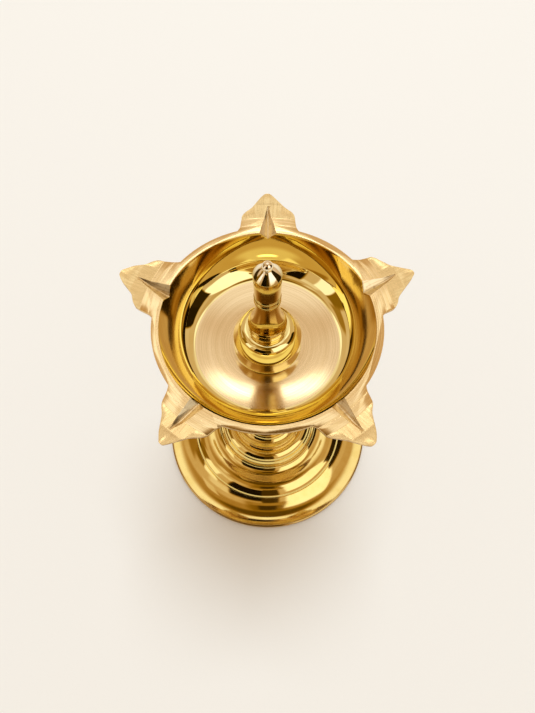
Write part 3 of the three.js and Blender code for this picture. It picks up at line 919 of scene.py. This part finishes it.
class OILLAMP_OT_finial(bpy.types.Operator):
    """Turns the finial that stands in the middle of the bowl"""

    bl_idname = "oillamp.finial"
    bl_label = "Finial"

    def execute(self, context):
        piece = turn("lamp_finial", finial_outline().points(), sizes().finial_seat / MM, SLIM_STEPS)
        dress(piece, "finial", "finial", polished_brass("turned_brass", 0.04))
        return {"FINISHED"}


class OILLAMP_OT_studs(bpy.types.Operator):
    """Cuts the three threaded studs that hold the lamp together"""

    bl_idname = "oillamp.studs"
    bl_label = "Threaded studs"

    def execute(self, context):
        studs = (
            ("stem_stud", "stem_screw", 4.0, 1.25),
            ("bowl_stud", "bowl_screw", 4.0, 1.25),
            ("finial_stud", "finial_screw", 3.0, 1.0),
        )
        for node, body, radius, pitch in studs:
            low, high = cad_low(node).z / MM, cad_high(node).z / MM
            piece = threaded_rod("lamp_" + node, radius, pitch, low, high)
            dress(piece, body, node, threaded_brass())
        return {"FINISHED"}


class OILLAMP_OT_fasteners(bpy.types.Operator):
    """Makes the washer and the hexagon nut under the foot's crown"""

    bl_idname = "oillamp.fasteners"
    bl_label = "Washer and nut"

    def execute(self, context):
        low, high = cad_low("foot_washer").z / MM, cad_high("foot_washer").z / MM
        ring = Outline(STUD_HOLE, low).to(9.0, low, 0.3).to(9.0, high, 0.15)
        ring.to(STUD_HOLE, high, 0.15).to(STUD_HOLE, low)
        washer = turn("lamp_washer", ring.points(), 0, SLIM_STEPS)
        dress(washer, "washer", "foot_washer", plain_steel())
        low, high = cad_low("foot_nut").z / MM, cad_high("foot_nut").z / MM
        corner = 6.5 / math.cos(math.pi / 6)
        hexagon = [(corner * math.cos(i * math.pi / 3), corner * math.sin(i * math.pi / 3)) for i in range(6)]
        nut = prism("lamp_nut", hexagon, low, high)
        turned = Outline(0, low).to(6.4, low, 0).to(corner + 0.05, low + 0.65, 0)
        turned.to(corner + 0.05, high - 0.65, 0).to(6.4, high, 0).to(0, high)
        combine(nut, turn("nut_corners", turned.points(), 0, SLIM_STEPS), "INTERSECT")
        bore = Outline(0, low - 1).to(4.5, low - 1, 0).to(4.5, low, 0).to(STUD_HOLE, low + 0.35, 0)
        bore.to(STUD_HOLE, high - 0.35, 0).to(4.5, high, 0).to(4.5, high + 1, 0).to(0, high + 1)
        combine(nut, turn("nut_bore", bore.points(), 0, SLIM_STEPS), "DIFFERENCE")
        clean(nut)
        round_edges(nut, 0.00012, 50)
        smooth_by_angle(nut)
        dress(nut, "nut", "foot_nut", plain_steel())
        return {"FINISHED"}


# Where the studio's soft light stands, seen from the oil lamp: azimuth, height and half width in degrees, and
# its distance in metres. Its colour and that of the light from all around add up to white.
KEY_AZIMUTH = 80.0
KEY_HEIGHT = 71.0
KEY_HALF_WIDTH = 14.0
KEY_DISTANCE = 3.0
KEY_POWER = 57.0
KEY_COLOUR = (0.71, 0.85, 1.0)
FILL = (0.64, 0.565, 0.49, 1.0)

# The camera that was fitted to the photograph: its place in metres, its tilt in degrees and its lens
CAMERA_PLACE = (0, -0.09546, 0.3249)
CAMERA_TILT = 24.67
CAMERA_LENS = 24.59

# The room that polished brass sees around it: its brightness, what its ceiling adds, and the tints of what is
# dark and bright in it
ROOM_LEVEL = 0.70
CEILING_GAIN = 0.46
DARK_TINT = (1.0, 0.50, 0.02, 1.0)
BRIGHT_TINT = (1.0, 0.96, 0.97, 1.0)

# The cards in it. Each is painted over those before it, and has an azimuth, a height, a half width and a half
# height in degrees, a soft edge as a share of them, and a brightness.
CARDS = (
    (265.0, 75.0, 115.0, 12.0, 0.25, 0.46),
    (10.0, 60.0, 26.0, 8.0, 0.30, 0.62),
    (90.0, 53.0, 34.0, 12.0, 0.30, 0.96),
    (131.0, 59.0, 13.0, 7.0, 0.30, 1.30),
    (49.0, 62.0, 13.0, 6.0, 0.30, 1.25),
    (270.0, 64.0, 24.0, 11.0, 0.30, 0.26),
    (270.0, 84.0, 85.0, 8.0, 0.30, 0.12),
    (317.0, 44.5, 27.0, 25.0, 0.10, 1.45),
    (201.0, 64.0, 8.0, 5.0, 0.30, 0.85),
    (310.0, 12.0, 24.0, 9.0, 0.20, 0.66),
    (216.0, 46.0, 12.0, 6.0, 0.25, 0.90),
    (187.0, 22.0, 10.0, 17.0, 0.20, 0.25),
    (205.0, 23.0, 9.0, 17.0, 0.15, 1.25),
    (168.0, 38.0, 13.0, 12.0, 0.30, 0.36),
    (160.0, 6.0, 24.0, 8.0, 0.20, 0.04),
    (158.0, 19.0, 20.0, 6.0, 0.20, 0.75),
    (8.0, 19.0, 11.0, 20.0, 0.14, 0.02),
    (27.0, 19.0, 8.0, 8.0, 0.25, 0.75),
    (350.0, 18.0, 9.0, 21.0, 0.14, 0.03),
    (247.0, 23.0, 18.5, 26.0, 0.10, 0.010),
    (273.0, 29.0, 9.0, 25.0, 0.15, 0.065),
    (270.0, 57.0, 20.0, 4.0, 0.20, 0.42),
    (270.0, 66.0, 11.0, 6.0, 0.25, 0.06),
    (90.0, 55.3, 12.0, 2.0, 0.40, 3.4),
)


def surroundings(tree):
    """The pale room with its ceiling and cards, as glossy metal sees it"""
    direction = tree.node("ShaderNodeTexCoord", None, None, "Generated")
    split = tree.node("ShaderNodeSeparateXYZ", None, {0: direction})
    x, y, z = (Signal(tree, socket) for socket in split.socket.node.outputs)
    flat = (x * x + y * y) ** 0.5
    height = z.turn_of(flat) * (180 / math.pi)
    level = ROOM_LEVEL + height.ease(64.0, 73.0) * CEILING_GAIN
    for azimuth, card_height, half_width, half_height, soft, brightness in CARDS:
        c, s = math.cos(math.radians(azimuth)), math.sin(math.radians(azimuth))
        across = (y * c - x * s).turn_of(x * c + y * s) * (180 / math.pi)
        wide = abs(across) / half_width
        tall = abs(height - card_height) / half_height
        mask = (1 - wide.ease(1 - soft, 1 + soft)) * (1 - tall.ease(1 - soft, 1 + soft))
        level = level * (1 - mask) + mask * brightness
    tint = tree.mix(level.ease(0.2, 1.25), DARK_TINT, BRIGHT_TINT)
    return tree.shade(tint, level)


class OILLAMP_OT_studio(bpy.types.Operator):
    """Adds the pale floor, the surroundings, the soft lamp and the camera"""

    bl_idname = "oillamp.studio"
    bl_label = "Studio"

    def execute(self, context):
        colours = context.scene.oil_lamp_studio
        self.floor(colours)
        self.world(context.scene, colours)
        self.lamp()
        self.camera(context.scene)
        context.scene.view_settings.view_transform = "Standard"
        return {"FINISHED"}

    def floor(self, colours):
        deselect_all()
        bpy.ops.mesh.primitive_plane_add(size=8.0, location=(0, 0, 0))
        floor = bpy.context.object
        floor.name = "studio_floor"
        material, tree = new_finish("pale_paper")
        place = tree.node("ShaderNodeTexCoord", None, None, "Object")
        grain = tree.noise(place, 900.0, 3.0)
        tone = tree.noise(place, 2.5, 2.0)
        colour = tree.shade(tuple(colours.floor), 0.985 + grain * 0.02 + tone * 0.01)
        shader = tree.node("ShaderNodeBsdfPrincipled", None,
                           {"Base Color": colour, "Roughness": 0.9, "Specular IOR Level": 0.1})
        tree.node("ShaderNodeOutputMaterial", None, {"Surface": shader})
        floor.data.materials.append(material)

    def world(self, scene, colours):
        world = bpy.data.worlds.new("pale_room")
        scene.world = world
        tree = Tree(world)
        path = tree.node("ShaderNodeLightPath")
        outputs = path.socket.node.outputs
        camera_ray = Signal(tree, outputs["Is Camera Ray"])
        glossy_ray = Signal(tree, outputs["Is Glossy Ray"])
        fill = tree.mix(glossy_ray, FILL, surroundings(tree))
        colour = tree.mix(camera_ray, fill, (*colours.surround, 1))
        background = tree.node("ShaderNodeBackground", None, {"Color": colour, "Strength": 1.0})
        tree.node("ShaderNodeOutputWorld", None, {"Surface": background})

    def lamp(self):
        azimuth, height = math.radians(KEY_AZIMUTH), math.radians(KEY_HEIGHT)
        aim = Vector((0, 0, 0.1))
        away = Vector((math.cos(height) * math.cos(azimuth), math.cos(height) * math.sin(azimuth),
                       math.sin(height)))
        bpy.ops.object.light_add(type="AREA", location=aim + away * KEY_DISTANCE)
        lamp = bpy.context.object
        lamp.name = "key_lamp"
        lamp.rotation_euler = away.to_track_quat("Z", "Y").to_euler()
        lamp.data.shape = "DISK"
        lamp.data.size = 2 * KEY_DISTANCE * math.tan(math.radians(KEY_HALF_WIDTH))
        lamp.data.energy = KEY_POWER
        lamp.data.color = KEY_COLOUR
        lamp.visible_glossy = False

    def camera(self, scene):
        bpy.ops.object.camera_add(location=CAMERA_PLACE, rotation=(math.radians(CAMERA_TILT), 0, 0))
        camera = bpy.context.object
        camera.name = "photo_camera"
        camera.data.sensor_width = 36
        camera.data.lens = CAMERA_LENS
        camera.data.clip_start = 0.01
        scene.camera = camera


class OILLAMP_PT_panel(bpy.types.Panel):
    """Lists the pieces and the sizes of the lamp"""

    bl_idname = "OILLAMP_PT_panel"
    bl_label = "Oil Lamp"
    bl_space_type = "VIEW_3D"
    bl_region_type = "UI"
    bl_category = "Oil Lamp"

    def draw(self, context):
        column = self.layout.column(align=True)
        for operator in OPERATORS:
            column.operator(operator.bl_idname)
        for group in (context.scene.oil_lamp_sizes, context.scene.oil_lamp_studio):
            box = self.layout.box()
            for name in group.__annotations__:
                box.prop(group, name)


OPERATORS = (
    OILLAMP_OT_foot, OILLAMP_OT_stem, OILLAMP_OT_bowl, OILLAMP_OT_finial, OILLAMP_OT_studs,
    OILLAMP_OT_fasteners, OILLAMP_OT_studio,
)
CLASSES = (LampSizes, StudioColours, *OPERATORS, OILLAMP_PT_panel)


def register():
    for kind in CLASSES:
        bpy.utils.register_class(kind)
    bpy.types.Scene.oil_lamp_sizes = bpy.props.PointerProperty(type=LampSizes)
    bpy.types.Scene.oil_lamp_studio = bpy.props.PointerProperty(type=StudioColours)


def unregister():
    del bpy.types.Scene.oil_lamp_studio
    del bpy.types.Scene.oil_lamp_sizes
    for kind in reversed(CLASSES):
        bpy.utils.unregister_class(kind)


def main():
    register()
    bpy.ops.oillamp.foot()
    bpy.ops.oillamp.stem()
    bpy.ops.oillamp.bowl()
    bpy.ops.oillamp.finial()
    bpy.ops.oillamp.studs()
    bpy.ops.oillamp.fasteners()
    bpy.ops.oillamp.studio()


if __name__ == "__main__":
    main()
